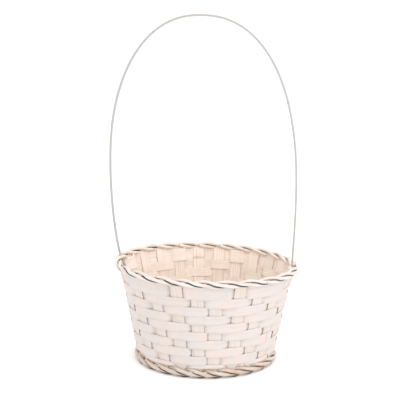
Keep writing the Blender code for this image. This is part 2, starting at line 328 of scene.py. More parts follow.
    def row(self, number: int) -> tuple[float, float]:
        """Lower and upper edge of a row. Row 0 is the narrow one at the foot."""
        if number == 0:
            return self.wall_bottom, self.wall_bottom + self.narrow_row - self.row_gap
        low = self.wall_bottom + self.narrow_row + (number - 1) * self.row_pitch
        return low, low + self.row_pitch - self.row_gap

    def passes_inside(self, row: int, stake: Array | int) -> Array | bool:
        """Whether a row, or a cane of a rope, passes on the inside of a stake."""
        return (row + stake) % self.twill == self.twill - 1


@dataclass(frozen=True)
class HoopSizes:
    """Sizes of the hoop and of its tucked legs.

    Attributes:
        crown: How far the middle of its faces stands up.
        bulge: Its widest, to one side, past its leg at the stake's tip.
        shoulder: Height over the rim's rope at which it is widest.
        lean: How far it leans to -X, at lean_height over the stakes.
        lean_power: Under 1, so that it leans most just over the rim.
        arch_power: 2 is an ellipse, and more is squarer.
        tuck_row: The lowest row that holds a leg.
        tail: Length of a leg below that row.
        top: Ground to the top of the hoop.
        apart: Number of stakes from one leg to the other.
    """

    width: float = 0.0036
    thickness: float = 0.0019
    crown: float = 0.00012
    bulge: float = 0.0062
    shoulder: float = 0.089
    lean: float = 0.0066
    lean_height: float = 0.146
    lean_power: float = 0.38
    arch_power: float = 2.25
    lower_power: float = 1.9
    tuck_row: int = 5
    tail: float = 0.004
    top: float = 0.350
    apart: int = 12


# ---- Profiles, paths and meshes ----


@dataclass(frozen=True)
class Profile:
    """A closed outline, as a place within a rounded rectangle for each of its points.

    A point's place is core * (half size - rounding) + arc * rounding, in each direction, and a
    crown is added to that through the thickness, falling off as the square towards the edges.

    Attributes:
        rounding: Radius of the corners.
        crown: How far the middle of the faces stands up, which cups a splint.
        face_points: Points across each face.
        corner_points: Points round each corner.
    """

    rounding: float
    crown: float
    face_points: int = 7
    corner_points: int = 3

    def loop(self) -> tuple[Array, Array]:
        """The outline's cores and arcs, each as a row of (across, through)."""
        cores, arcs = [], []
        turn = np.linspace(0, math.pi / 2, self.corner_points)
        inner = np.linspace(1, -1, self.face_points)[1:-1]
        for quarter, (a, b) in enumerate(((1, 1), (-1, 1), (-1, -1), (1, -1))):
            bend = turn + quarter * math.pi / 2
            cores.append(np.tile([a, b], (self.corner_points, 1)))
            arcs.append(np.stack([np.cos(bend), np.sin(bend)], -1))
            if quarter % 2 == 0:
                face = inner if quarter == 0 else -inner
                cores.append(np.stack([face, np.full_like(face, b)], -1))
                arcs.append(np.tile([0, b], (len(face), 1)))
        return np.concatenate(cores).astype(float), np.concatenate(arcs).astype(float)

    def offsets(self, width: Array, thickness: Array) -> tuple[Array, Array]:
        """Across and through, for each station of a path and each point of the outline."""
        cores, arcs = self.loop()
        rounding = np.minimum(self.rounding, 0.49 * np.minimum(width, thickness))[:, None]
        across = cores[:, 0] * (width[:, None] / 2 - rounding) + arcs[:, 0] * rounding
        through = cores[:, 1] * (thickness[:, None] / 2 - rounding) + arcs[:, 1] * rounding
        through = through + self.crown * (1 - (2 * across / width[:, None]) ** 2)
        return across, through


@dataclass
class Path:
    """The line that a piece follows.

    Attributes:
        centre: Its middle, one point for each station.
        across: About the direction of the piece's width there.
        facing: About the direction that its good face looks in.
        width: The piece's width at each station.
        thickness: The piece's thickness at each station.
    """

    centre: Array
    across: Array
    facing: Array
    width: Array
    thickness: Array

    def __post_init__(self) -> None:
        """Squares the directions: across the tangent first, then the face's."""
        tangent = unit(np.gradient(self.centre, axis=0))
        across = self.across - (self.across * tangent).sum(-1, keepdims=True) * tangent
        self.across = unit(across)
        square = np.cross(tangent, self.across)
        sign = np.sign((square * self.facing).sum(-1, keepdims=True))
        self.facing = square * np.where(sign == 0, 1.0, sign)

    @property
    def length(self) -> Array:
        """Distance along the path to each station."""
        return distances(self.centre)

    @property
    def share(self) -> Array:
        """The same, from 0 to 1."""
        return self.length / self.length[-1]


@dataclass
class Body:
    """One piece's surface before it becomes a mesh: a grid of points and what is known of each.

    Attributes:
        name: The piece's name.
        grid: Points, by station and by place round the profile.
        along: Distance along the piece of each station.
        around: Distance round the profile of each place, with the closing one.
        marks: Numbers at each point of the grid, by name.
    """

    name: str
    grid: Array
    along: Array
    around: Array
    marks: dict[str, Array] = field(default_factory=dict)

    @property
    def normals(self) -> Array:
        """Outward at each point: the cross product of the grid's two directions."""
        lengthwise = np.gradient(self.grid, axis=0)
        wrapped = np.concatenate([self.grid[:, -1:], self.grid, self.grid[:, :1]], axis=1)
        round_it = (wrapped[:, 2:] - wrapped[:, :-2]) / 2
        square = np.cross(round_it, lengthwise)
        away = self.grid - self.grid.mean(1, keepdims=True)
        sign = 1.0 if (square * away).sum() > 0 else -1.0
        size = np.linalg.norm(square, axis=-1, keepdims=True)
        return sign * square / np.maximum(size, 1e-15)

    @property
    def areas(self) -> Array:
        """About how much surface each point stands for."""
        lengthwise = np.linalg.norm(np.gradient(self.grid, axis=0), axis=-1)
        step = np.linalg.norm(np.roll(self.grid, -1, axis=1) - self.grid, axis=-1)
        return lengthwise * (step + np.roll(step, 1, axis=1)) / 2


def carried(name: str, path: Path, profile: Profile, relief: Array) -> Body:
    """Carries a profile along a path.

    Each point is the path's centre, plus across times the profile's across, plus facing times
    its through. Relief is added to the thickness, and nothing reaches below the ground.

    Args:
        name: The piece's name.
        path: The line that it follows.
        profile: Its outline.
        relief: How much thicker it is at each station.

    Returns:
        The surface, with a mark for its edges.
    """
    across, through = profile.offsets(path.width, path.thickness + relief)
    grid = path.centre[:, None] + across[..., None] * path.across[:, None]
    grid = grid + through[..., None] * path.facing[:, None]
    flat = np.stack([across.mean(0), through.mean(0)], -1)
    body = Body(name, grid, path.length, distances(np.concatenate([flat, flat[:1]])))
    side = np.abs(2 * across / path.width[:, None])
    body.marks["edge"] = smooth_step(0.86, 1.0, side)
    body.grid[..., 2] = np.maximum(body.grid[..., 2], 0.0)
    return body


def signed_volume(points: Array, quads: Array) -> float:
    """Six times the volume inside quads, which is positive if they face outwards."""
    a, b, c, d = (points[quads[:, k]] for k in range(4))
    return float((np.cross(a, b) * c).sum() + (np.cross(a, c) * d).sum())


def as_object(body: Body, finish: bpy.types.Material) -> bpy.types.Object:
    """Makes the mesh: quads between the stations and one flat face at each end.

    Its UV map is the distance along the piece and round it, in metres.

    Args:
        body: The surface.
        finish: Its material.

    Returns:
        The new object, at the origin.
    """
    stations, places = body.grid.shape[:2]
    points = body.grid.reshape(-1, 3)
    i, k = (x.reshape(-1) for x in np.mgrid[: stations - 1, :places])
    after = (k + 1) % places
    quads = np.stack([i * places + k, i * places + after, (i + 1) * places + after], -1)
    quads = np.concatenate([quads, ((i + 1) * places + k)[:, None]], -1)
    far = body.along[i + 1]
    u = np.stack([body.along[i], body.along[i], far, far], -1)
    v = np.stack([body.around[k], body.around[k + 1], body.around[k + 1], body.around[k]], -1)
    first, last = np.arange(places)[::-1], (stations - 1) * places + np.arange(places)
    if signed_volume(points - points.mean(0), quads) < 0:
        quads, u, v = quads[:, ::-1], u[:, ::-1], v[:, ::-1]
        first, last = first[::-1], last[::-1]
    corners = np.concatenate([quads.reshape(-1), first, last])
    starts = np.concatenate([4 * np.arange(len(quads)), [4 * len(quads), 4 * len(quads) + places]])
    cap_u = np.concatenate([np.full(places, body.along[0]), np.full(places, body.along[-1])])
    cap_v = np.concatenate([body.around[first % places], body.around[last % places]])
    mesh = bpy.data.meshes.new(body.name)
    mesh.vertices.add(len(points))
    mesh.vertices.foreach_set("co", points.astype(np.float32).reshape(-1))
    mesh.loops.add(len(corners))
    mesh.loops.foreach_set("vertex_index", corners.astype(np.int32))
    mesh.polygons.add(len(starts))
    mesh.polygons.foreach_set("loop_start", starts.astype(np.int32))
    smooth = np.ones(len(starts), bool)
    smooth[-2:] = False
    mesh.polygons.foreach_set("use_smooth", smooth)
    mesh.update(calc_edges=True)
    layer = mesh.uv_layers.new(name="grain")
    uv = np.stack([np.append(u.reshape(-1), cap_u), np.append(v.reshape(-1), cap_v)], -1)
    layer.uv.foreach_set("vector", uv.astype(np.float32).reshape(-1))
    for mark, values in body.marks.items():
        spread = np.broadcast_to(values, (stations, places)).reshape(-1)
        attribute = mesh.attributes.new(mark, "FLOAT", "POINT")
        attribute.data.foreach_set("value", spread.astype(np.float32))
    mesh.validate()
    mesh.materials.append(finish)
    piece = bpy.data.objects.new(body.name, mesh)
    bpy.context.collection.objects.link(piece)
    return piece


@dataclass(frozen=True)
class Growth:
    """What the bamboo's growth leaves on a piece: joints, and lighter and darker stretches.

    Attributes:
        knuckle: How much thicker the piece is at a joint.
        spacing: About how far apart its joints are.
        tone: How much its tone goes up and down, about 0.5.
        waves: About how often it does so along the piece.
    """

    knuckle: float
    spacing: float
    tone: float
    waves: int

    def joints(self, length: Array, seed: int) -> Array:
        """Where joints cross a piece: the sum of a narrow bell curve at each of them.

        Args:
            length: Distance along the piece of each station.
            seed: Picks where they fall.

        Returns:
            A number at each station, about 1 at a joint and 0 away from them.
        """
        dice = np.random.default_rng(seed)
        count = int(length[-1] / self.spacing) + 1
        places = dice.uniform(0.1, 0.9) * self.spacing + self.spacing * np.arange(count)
        places = places + dice.uniform(-0.2, 0.2, len(places)) * self.spacing
        return np.exp(-(((length[:, None] - places) / (1.1 * MM)) ** 2)).sum(1)

    def piece(self, name: str, path: Path, profile: Profile, seeds: tuple[int, int]) -> Body:
        """Carries a profile along a path, and makes it thicker at the joints.

        Args:
            name: The piece's name.
            path: The line that it follows.
            profile: Its outline.
            seeds: One for the joints and one for the tone.

        Returns:
            The surface, with marks for its edges, joints and tone.
        """
        joints = self.joints(path.length, seeds[0])
        body = carried(name, path, profile, self.knuckle * joints)
        body.marks["joint"] = joints[:, None]
        tone = 0.5 + Wobble(self.tone, self.waves, seeds[1]).at(path.share)
        body.marks["tone"] = tone[:, None]
        return body


# ---- Sub-assemblies ----


@dataclass
class LongSplints:
    """The twelve splints of the base, whose ends stand up as the stakes.

    Attributes:
        each_side: Splints along X each side of the middle one. One fewer run along Y.
        spread: The outermost splint's line, against the place where it ends.
        lattice_gap: Between neighbouring splints of the base.
        bend: Radius of the bend at the foot.
        margin: From the last crossing to where a splint starts to turn to its stake.
        spacing: Between two stations of a path.
    """

    bowl: Bowl
    each_side: int = 3
    spread: float = 0.935
    lattice_gap: float = 0.0027
    bend: float = 0.003
    margin: float = 0.0012
    spacing: float = 0.0013
    growth: Growth = Growth(knuckle=0.00018, spacing=0.21, tone=0.3, waves=6)
    profile: Profile = Profile(rounding=0.00022, crown=0.00013)

    @property
    def bend_radius(self) -> float:
        """Distance from the bowl's axis to the line that the splints bend about."""
        lean = math.atan(self.bowl.wall_slope)
        height = self.bowl.splint_thickness / 2 + self.bend * (1 - math.sin(lean))
        return float(self.bowl.radius(np.array(height))) - self.bend * math.cos(lean)

    @property
    def pitch(self) -> float:
        """Distance between two neighbours in the lattice."""
        end = self.bend_radius * math.sin(self.each_side * self.bowl.step)
        return self.spread * end / self.each_side

    @property
    def base_width(self) -> float:
        """Width of a splint in the lattice."""
        return min(self.bowl.splint_width, self.pitch - self.lattice_gap)

    def level(self, high: bool) -> float:
        """Height of a splint's middle in the lattice."""
        lift = self.bowl.splint_thickness + self.bowl.gap
        return self.bowl.splint_thickness / 2 + (lift if high else 0.0)

    def base_keys(self, number: int, family: Family, side: int, stake: int) -> list[Array]:
        """Half a splint in the base, from the middle out, then a cubic that leaves radially.

        Args:
            number: The splint's own number, 0 in the middle of its family.
            family: Which way it runs.
            side: 1 for the half towards +X or +Y, and -1 for the other.
            stake: The stake that it becomes.

        Returns:
            A row for each key: centre, across, facing, width.
        """
        heading = family.value * math.pi / 2 + (0.0 if side == 1 else math.pi)
        turn = float(self.bowl.angle(stake)) - heading
        turn = (turn + math.pi) % (2 * math.pi) - math.pi
        end, aside = self.bend_radius * math.cos(turn), self.bend_radius * math.sin(turn)
        line = side * number * self.pitch
        others = self.each_side - 1 if family is Family.SIDE_TO_SIDE else self.each_side
        start = others * self.pitch + self.base_width / 2 + self.margin
        stations = []
        for crossing in range(others + 1):
            over = (crossing + number + family.value) % 2 == 0
            for edge in (-1, 1):
                place = crossing * self.pitch + edge * self.base_width / 2
                if place > 0:
                    stations.append((place, self.level(over)))
        stations.append((start, stations[-1][1]))
        shares = (0.3, 0.55, 0.8)
        stations += [(start + share * (end - start), self.level(False)) for share in shares]
        keys = []
        for place, level in stations:
            t = max(0.0, (place - start) / (end - start))
            slope = math.tan(turn) * (end - start)
            away = line + (aside - line) * (3 * t**2 - 2 * t**3) + slope * (t**3 - t**2)
            steep = (aside - line) * (6 * t - 6 * t**2) + slope * (3 * t**2 - 2 * t)
            aim = np.array(heading + math.atan(steep / (end - start)) * (t > 0))
            centre = place * self.bowl.outward(np.array(heading)) + level * UP
            centre = centre + away * self.bowl.sideways(np.array(heading))
            keys.append(np.concatenate([centre, self.bowl.sideways(aim), -UP, [self.base_width]]))
        return keys

    def wall_keys(self, stake: int) -> list[Array]:
        """Round the bend at the foot and up the wall to the tip, as rows like base_keys'."""
        bowl = self.bowl
        angle = np.array(float(bowl.angle(stake)))
        outward, sideways = bowl.outward(angle), bowl.sideways(angle)
        lean = math.atan(bowl.wall_slope)
        keys = []
        for share in np.linspace(0, 1, 6):
            turn = -math.pi / 2 + share * (math.pi / 2 - lean)
            away = math.cos(turn) * outward + math.sin(turn) * UP
            centre = self.bend_radius * outward + (self.level(False) + self.bend) * UP
            keys.append(np.concatenate([centre + self.bend * away, sideways, away, [bowl.pared]]))
        # Evenly up the straight wall, closer where it flares, then pared into the rope.
        full = bowl.splint_width
        stations = [(2 * bowl.foot_z, bowl.pared), (bowl.wall_bottom + bowl.narrow_row / 2, full)]
        stations += [(z, full) for z in np.linspace(0.03, bowl.rim_z - bowl.flare_height, 4)]
        rope = bowl.rim_z - bowl.rim_tuck
        stations += [(z, full) for z in np.linspace(bowl.rim_z - 0.8 * bowl.flare_height, rope, 4)]
        stations += [(bowl.rim_z - 0.5 * MM, bowl.pared), (bowl.stake_top, bowl.pared)]
        for height, width in stations:
            z = np.array(height)
            centre = float(bowl.radius(z)) * outward + height * UP
            keys.append(np.concatenate([centre, sideways, bowl.normal(angle, z), [width]]))
        return keys

    def path(self, number: int, family: Family, own: int) -> Path:
        """The whole splint, from one stake's tip through the base to the other's.

        Args:
            number: The splint's own number, 0 in the middle of its family.
            family: Which way it runs.
            own: What is added to the seeds.

        Returns:
            The path.
        """
        quarter = family.value * self.bowl.stakes // 4
        half = self.bowl.stakes // 2
        stakes = (quarter + number, quarter + half - number)
        halves = []
        for side, stake in zip((1, -1), stakes):
            keys = self.base_keys(number, family, side, stake) + self.wall_keys(stake)
            halves.append(np.array(keys))
        back = halves[1][::-1].copy()
        back[:, 3:6] *= -1
        rows = np.concatenate([back, halves[0]])
        keys = distances(rows[:, :3])
        at = np.linspace(0, keys[-1], int(keys[-1] / self.spacing))
        row = eased(keys, rows, at)
        share = at / at[-1]
        wider = Wobble(0.012, 30, Seed.SPLINT_WIDTH + own).at(share)
        thicker = Wobble(0.06, 12, Seed.SPLINT_THICKNESS + own).at(share)
        width = row[:, 9] * (1 + wider)
        thickness = self.bowl.splint_thickness * (1 + thicker)
        centre = self.bowl.settled(row[:, :3])
        return Path(centre, unit(row[:, 3:6]), unit(row[:, 6:9]), width, thickness)

    def left_edge(self, grid: Array, path: Path) -> Array:
        """How near a point is to the edge where a row goes in behind the stake: 0 to 1. It weights
        the painted shade on that edge, away from the light at the right.
        """
        centre = path.centre[:, None]
        turned = centre[..., 0] * grid[..., 1] - centre[..., 1] * grid[..., 0]
        away = np.hypot(centre[..., 0], centre[..., 1]) + MM
        return 0.1 + 0.9 * smooth_step(0.35, 0.9, -turned / away / (path.width[:, None] / 2))

    def bodies(self) -> list[tuple[Body, str]]:
        """All twelve, each with the name of the CAD node that it stands for."""
        made = []
        for family, plain, node in (
            (Family.SIDE_TO_SIDE, "side_splint", "side_to_side_strip"),
            (Family.FRONT_TO_BACK, "front_splint", "front_to_back_strip"),
        ):
            each_side = self.each_side - family.value
            for i, number in enumerate(range(-each_side, each_side + 1)):
                own = Seed.SPLINT_FAMILY * family.value + i
                path = self.path(number, family, own)
                seeds = Seed.SPLINT_JOINTS + own, Seed.SPLINT_TONE + own
                body = self.growth.piece(f"{plain}_{i + 1}", path, self.profile, seeds)
                # Weight of the painted shade and crevice wear, strongest at the stakes' left
                # edges, away from the light.
                body.marks["shade_weight"] = self.left_edge(body.grid, path)
                made.append((body, f"{node}_{i + 1}"))
        return made


@dataclass
class WovenRows:
    """The ten rows of splint woven round the stakes, each with its two ends lapped.

    Attributes:
        swell: How far a row stands off, between two stakes that it passes outside. The top
            row does so between all stakes, because it reaches up to the rope.
        rise: How much further out it is at the side of those stakes that faces the other.
        between: How far outside the stakes' middle it crosses from one side to the other.
        tilt: How much further out its lower edge is than its upper edge.
        overhang: How far its lower edge is let down, over the gap and the row below.
        lap: How far inside a row's first end its last one lies.
        first_lap: The first of the stakes in front, on whose inside the ends are lapped.
        lap_before: Where a row starts, in steps before that stake.
        lap_after: Where it ends, in steps after it.
        dive_aside: From a stake's edge to where a row that goes in behind it gets the most painted
            shade.
        dive_width: How far that painted shade reaches to either side of it.
        shade_elsewhere: How much painted shade the rest of the row gets, beside 1 there.
        per_step: Stations of a path from one stake to the next.
    """

    bowl: Bowl
    hoop: HoopSizes
    thickness: float = 0.0006
    swell: float = 0.0008
    rise: float = 0.00045
    between: float = 0.0003
    tilt: float = 0.0006
    overhang: float = 0.0011
    lap: float = 0.00075
    first_lap: int = 16
    lap_before: float = 0.20
    lap_after: float = 0.38
    dive_aside: float = 0.0005
    dive_width: float = 0.0015
    shade_elsewhere: float = 0.12
    per_step: int = 17
    growth: Growth = Growth(knuckle=0.00016, spacing=0.24, tone=0.35, waves=9)
    profile: Profile = Profile(rounding=0.00014, crown=0.00010)

    @property
    def stand(self) -> float:
        """Middle of a stake to the middle of a row that lies on its outside."""
        return (self.bowl.splint_thickness + self.thickness) / 2 + self.bowl.gap

    @property
    def depth(self) -> float:
        """Middle of a stake to the middle of a row that passes inside it, clear of its crown."""
        return self.stand + self.profile.crown

    def leg_keys(self, angle: float, radius: float) -> list[tuple[float, float]]:
        """Where a row passes behind a leg of the hoop, as pairs of angle and offset."""
        over = -(self.depth + self.bowl.gap + self.hoop.thickness + self.hoop.crown)
        edge = self.bowl.splint_width / 2 + self.bowl.gap
        leg = self.hoop.width / 2 + self.bowl.gap
        near = (over - self.depth) / 2
        places = ((-edge, near), (-leg, over), (leg, over), (edge, near))
        return [(angle + aside / radius, offset) for aside, offset in places]

    def holds_leg(self, row: int, stake: int) -> bool:
        """Whether a leg of the hoop is between this row and the stake."""
        low = self.bowl.row(self.hoop.tuck_row)[0] - self.hoop.tail
        inside = self.bowl.passes_inside(row, stake)
        return inside and stake % self.hoop.apart == 0 and self.bowl.row(row)[0] > low

    def keys(self, row: int, start: int, radius: float) -> tuple[Array, Array]:
        """Angles and offsets from the stakes' middle, over a turn and a bit.

        Args:
            row: Number of the row.
            start: The stake on whose inside its ends are lapped.
            radius: Distance from the bowl's axis.

        Returns:
            The keys' angles and their offsets.
        """
        bowl = self.bowl
        dice = np.random.default_rng(Seed.ROW_SWELL + row)
        edge = (bowl.splint_width / 2 + bowl.gap) / radius
        out, back = self.stand, -self.depth
        pairs: list[tuple[float, float]] = []
        for stake in range(start - 1, start + bowl.stakes + 2):
            angle = float(bowl.angle(stake))
            turn = (row + stake) % bowl.twill
            lapped = self.lap if stake == start + bowl.stakes else 0.0
            if self.holds_leg(row, stake):
                pairs += self.leg_keys(angle, radius)
            elif turn == bowl.twill - 1:
                pairs += [(angle - edge, back - lapped), (angle + edge, back - lapped)]
            else:
                rises = (0.0, self.rise) if turn == 0 else (self.rise, 0.0)
                pairs += [(angle - edge, out + rises[0]), (angle + edge, out + rises[1])]
            float_top = out + self.swell * dice.uniform(0.8, 1.25)
            middle = float_top if turn == 0 or row == bowl.full_rows else self.between
            pairs.append((bowl.gap_angle(stake), middle - lapped))
        table = np.array(pairs)
        return table[:, 0], table[:, 1]

    def path(self, row: int) -> tuple[Path, Array]:
        """The row's line, and how near each station is to where it goes in behind a stake."""
        bowl = self.bowl
        low, high = bowl.row(row)
        stakes = range(self.first_lap, self.first_lap + bowl.twill)
        start = next(stake for stake in stakes if bowl.passes_inside(row, stake))
        radius = float(bowl.radius(np.array((low + high) / 2)))
        angles, offsets = self.keys(row, start, radius)
        first = float(bowl.angle(start)) - self.lap_before * bowl.step
        last = float(bowl.angle(start + bowl.stakes)) + self.lap_after * bowl.step
        count = int((last - first) / bowl.step * self.per_step)
        at = np.linspace(first, last, count)
        offset = eased(angles, offsets, at)
        share = np.linspace(0, 1, count)
        outside = np.clip(offset / self.stand, -1.0, 1.0)
        low -= self.overhang if row > 0 else 0.0
        high = bowl.rim_z - bowl.rim_tuck if row == bowl.full_rows else high
        height = (low + high) / 2 + Wobble(0.07 * MM, 20, Seed.ROW_HEIGHT + row).at(share)
        trim = 1 - 0.014 * (1 + Wobble(0.8, 40, Seed.ROW_WIDTH + row).at(share)) / 2
        width = (high - low) * trim / np.cos(np.arctan(bowl.slope(height)))
        stand = (offset + self.tilt * outside / 2) / np.cos(np.arctan(bowl.slope(height)))
        centre = (bowl.radius(height) + stand)[:, None] * bowl.outward(at)
        centre = bowl.settled(centre + height[:, None] * UP)
        facing = bowl.normal(at, height)
        across = bowl.rising(at, height) - (self.tilt / (high - low)) * facing
        thickness = self.thickness * (1 + Wobble(0.05, 20, Seed.ROW_THICKNESS + row).at(share))
        return Path(centre, across, facing, width, thickness), self.dives(row, at, radius)

    def dives(self, row: int, at: Array, radius: float) -> Array:
        """Bell curves, up to 1, where a row goes in behind a stake's left edge, and
        shade_elsewhere elsewhere: the weight of the painted shade, away from the light at the
        right.
        """
        bowl = self.bowl
        stakes = np.arange(self.first_lap - 2, self.first_lap + bowl.stakes + 6)
        inner = stakes[bowl.passes_inside(row, stakes)]
        edges = bowl.angle(inner) - (bowl.splint_width / 2 + self.dive_aside) / radius
        away = (at[:, None] - edges) * radius
        return self.shade_elsewhere + (1 - self.shade_elsewhere) * np.exp(-((away / self.dive_width) ** 2)).sum(1)

    def bodies(self) -> list[tuple[Body, str]]:
        """All ten, each with the name of the CAD node that it stands for."""
        made = []
        for row in range(self.bowl.full_rows + 1):
            path, dives = self.path(row)
            seeds = Seed.ROW_JOINTS + row, Seed.ROW_TONE + row
            body = self.growth.piece(f"woven_row_{row}", path, self.profile, seeds)
            # Weight of the painted shade, strongest where the row goes in behind a stake's left
            # edge.
            body.marks["shade_weight"] = dives[:, None]
            made.append((body, f"weaver_row_{row}"))
        return made


@dataclass
class Rope:
    """Three canes twined about the stakes, each outside two of them and inside the next.

    Attributes:
        slowness: How much slower a cane falls on the outside than it climbs on the inside.
        lap: How far a cane that has just come out lies over the one before it.
        shadow_side: Direction, away from the light, in which the painted shade in the slits
            between canes is darkest.
        first_stake: The first of the stakes at the back, on whose inside a cane's ends meet.
        per_step: Stations of a path from one stake to the next.
        cut: Gap between a cane's two ends.
        behind_leg: How far aside from a leg of the hoop a cane is wholly behind it, and how far
            aside it is back in its place.
        slit_near: How near to another cane a slit is darkest, and how far off it ends.
        ground_near: The same for the ground.
    """

    bowl: Bowl
    hoop: HoopSizes
    place: Place
    slowness: float = 0.3
    lap: float = 0.0003
    shadow_side: float = math.radians(215)
    first_stake: int = 6
    per_step: int = 20
    cut: float = 0.0006
    behind_leg: tuple[float, float] = (0.0024, 0.010)
    slit_near: tuple[float, float] = (0.00045, 0.0018)
    ground_near: tuple[float, float] = (0.0011, 0.0029)
    growth: Growth = Growth(knuckle=0.0, spacing=0.19, tone=0.4, waves=12)
    profile: Profile = Profile(rounding=1.0, crown=0.0, face_points=2, corner_points=5)

    @property
    def cane(self) -> float:
        """Radius of its canes."""
        return self.bowl.rim_cane if self.place is Place.RIM else self.bowl.foot_cane

    @property
    def radius(self) -> float:
        """Distance from the bowl's axis to the stakes."""
        return self.bowl.rim_radius if self.place is Place.RIM else self.bowl.foot_radius

    @property
    def climb(self) -> float:
        """Most height over the rope's middle that a cane reaches."""
        return self.bowl.rim_climb if self.place is Place.RIM else self.bowl.foot_climb

    @property
    def middle(self) -> float:
        """Height of the rope's middle."""
        return self.bowl.rim_z if self.place is Place.RIM else self.bowl.foot_z

    def own(self, number: int) -> int:
        """What is added to the seeds for one of its canes."""
        return Seed.CANE_STEP * number + (Seed.RIM_ROPE if self.place is Place.RIM else 0)

    def lay(self, number: int, angle: Array) -> tuple[Array, Array]:
        """How far out and how high a cane is: it winds round the rope's middle line.

        Its turn grows by a third of a circle from each stake to the next. It stands out with
        the cosine of the turn, flattened where it lies on the stakes' two faces. Its height
        falls as the sine of that turn less a part of its own sine, so that a cane falls slowly
        on the outside and climbs fast on the inside. Where it has just come out, it lies a
        little over the cane before it.

        Args:
            number: Which of the three, 0 to 2.
            angle: Directions from the bowl's axis.

        Returns:
            Distances out and up from the rope's middle line.
        """
        bowl = self.bowl
        stakes = np.arange(self.first_stake - 3, self.first_stake + bowl.stakes + 6)
        turn = eased(bowl.angle(stakes), stakes, angle) + number - 0.5
        turn = 2 * math.pi / bowl.twill * turn
        reach = bowl.splint_thickness / 2 + bowl.gap + self.cane
        swell = 2 * self.cane * math.sin(math.pi / bowl.twill) - reach
        side = (np.cos(turn) + 0.25) / 0.75  # 1 at a stake that it is outside, -1 at one inside
        out = reach * np.sin(math.pi / 2 * np.clip(side, -1.0, 1.0))
        half_way = np.maximum(0.0, side - 1) * 1.5  # 1 midway between the two stakes outside
        out = out + swell * half_way**2
        fresh = np.maximum(0.0, -np.sin(turn)) * smooth_step(0.0, 0.5, np.cos(turn))
        out = out + self.lap * fresh
        inside = bowl.passes_inside(number, stakes)
        for stake in stakes[(stakes % self.hoop.apart == 0) & inside]:
            aside = np.abs(angle - bowl.angle(stake)) * self.radius
            behind = self.hoop.thickness + bowl.gap + 2 * self.hoop.crown
            near = 1 - smooth_step(*self.behind_leg, aside)
            out = out - (behind * near if self.place is Place.RIM else 0.0)
        return out, -self.climb * np.sin(turn - self.slowness * np.sin(turn))

    def line(self, number: int, angle: Array, shaken: Array | float = 0.0) -> Array:
        """Middle of a cane at those directions, never lower than it can lie."""
        height = np.full_like(angle, self.middle)
        out, up = self.lay(number, angle)
        centre = self.radius * self.bowl.outward(angle) + self.middle * UP
        centre = centre + (out + shaken)[:, None] * self.bowl.normal(angle, height)
        centre = centre + up[:, None] * self.bowl.rising(angle, height)
        centre[:, 2] = np.maximum(centre[:, 2], self.cane)
        return self.bowl.settled(centre)

    def path(self, number: int) -> tuple[Path, Array]:
        """The line of one cane, whose two ends meet on the inside of a stake at the back.

        Args:
            number: Which of the three, 0 to 2.

        Returns:
            The path, and the direction of each of its stations.
        """
        bowl = self.bowl
        stakes = range(self.first_stake, self.first_stake + bowl.twill)
        start = next(stake for stake in stakes if bowl.passes_inside(number, stake))
        first = float(bowl.angle(start))
        last = first + 2 * math.pi - self.cut / self.radius
        at = np.linspace(first, last, bowl.stakes * self.per_step)
        share = np.linspace(0, 1, len(at))
        shaken = Wobble(0.05 * MM, 40, Seed.CANE_LINE + self.own(number))
        uneven = Wobble(0.04, 50, Seed.CANE_SIZE + self.own(number))
        centre = self.line(number, at, shaken.at(share))
        size = 2 * self.cane * (1 + uneven.at(share))
        size = np.minimum(size, 2 * centre[:, 2])
        height = np.full_like(at, self.middle)
        return Path(centre, bowl.rising(at, height), bowl.normal(at, height), size, size), at

    def slits(self, number: int, grid: Array, at: Array) -> Array:
        """Where a cane's surface presses on another cane, or on the ground, 0 to 1: the mask of
        the painted shade in the slits and of a painted contact shadow on the ground.
        """
        closeness = np.zeros(grid.shape[:2])
        for other in range(self.bowl.twill):
            if other != number:
                away = np.linalg.norm(grid - self.line(other, at)[:, None], axis=-1) - self.cane
                closeness = np.maximum(closeness, 1 - smooth_step(*self.slit_near, away))
        # Painted shade: the slits are darkest on the side away from the light.
        closeness = closeness * (0.66 + 0.34 * np.cos(at - self.shadow_side))[:, None]
        # Painted contact shadow where a cane nears the ground.
        ground = 1 - smooth_step(*self.ground_near, grid[..., 2])
        return np.maximum(closeness, ground)

    def seam(self, grid: Array, path: Path, seed: int) -> Array:
        """A line along the cane where its bark was split, which wanders round it: 0 to 1.

        It is high near centre + radius * (cos(turn) * facing + sin(turn) * across).
        """
        turn = -0.3 + Wobble(0.9, 9, seed).at(path.share)
        aim = np.cos(turn)[:, None] * path.facing + np.sin(turn)[:, None] * path.across
        off = np.linalg.norm(grid - (path.centre + self.cane * aim)[:, None], axis=-1)
        return 1 - smooth_step(0.1 * MM, 0.8 * MM, off)

    def bodies(self) -> list[tuple[Body, str]]:
        """The three canes, each with the name of the CAD node that it stands for."""
        made = []
        for number in range(self.bowl.twill):
            path, at = self.path(number)
            own = self.own(number)
            name = f"{self.place.value}_cane_{number + 1}"
            seeds = Seed.CANE_JOINTS + own, Seed.CANE_TONE + own
            body = self.growth.piece(name, path, self.profile, seeds)
            body.marks["edge"] = np.zeros((1, 1))
            # Full weight of the painted shade in the rope's crevices.
            body.marks["shade_weight"] = np.ones((1, 1))
            body.marks["slit"] = self.slits(number, body.grid, at)
            body.marks["seam"] = self.seam(body.grid, path, Seed.CANE_SEAM + own)
            made.append((body, f"{self.place.value}_rod_{number + 1}"))
        return made


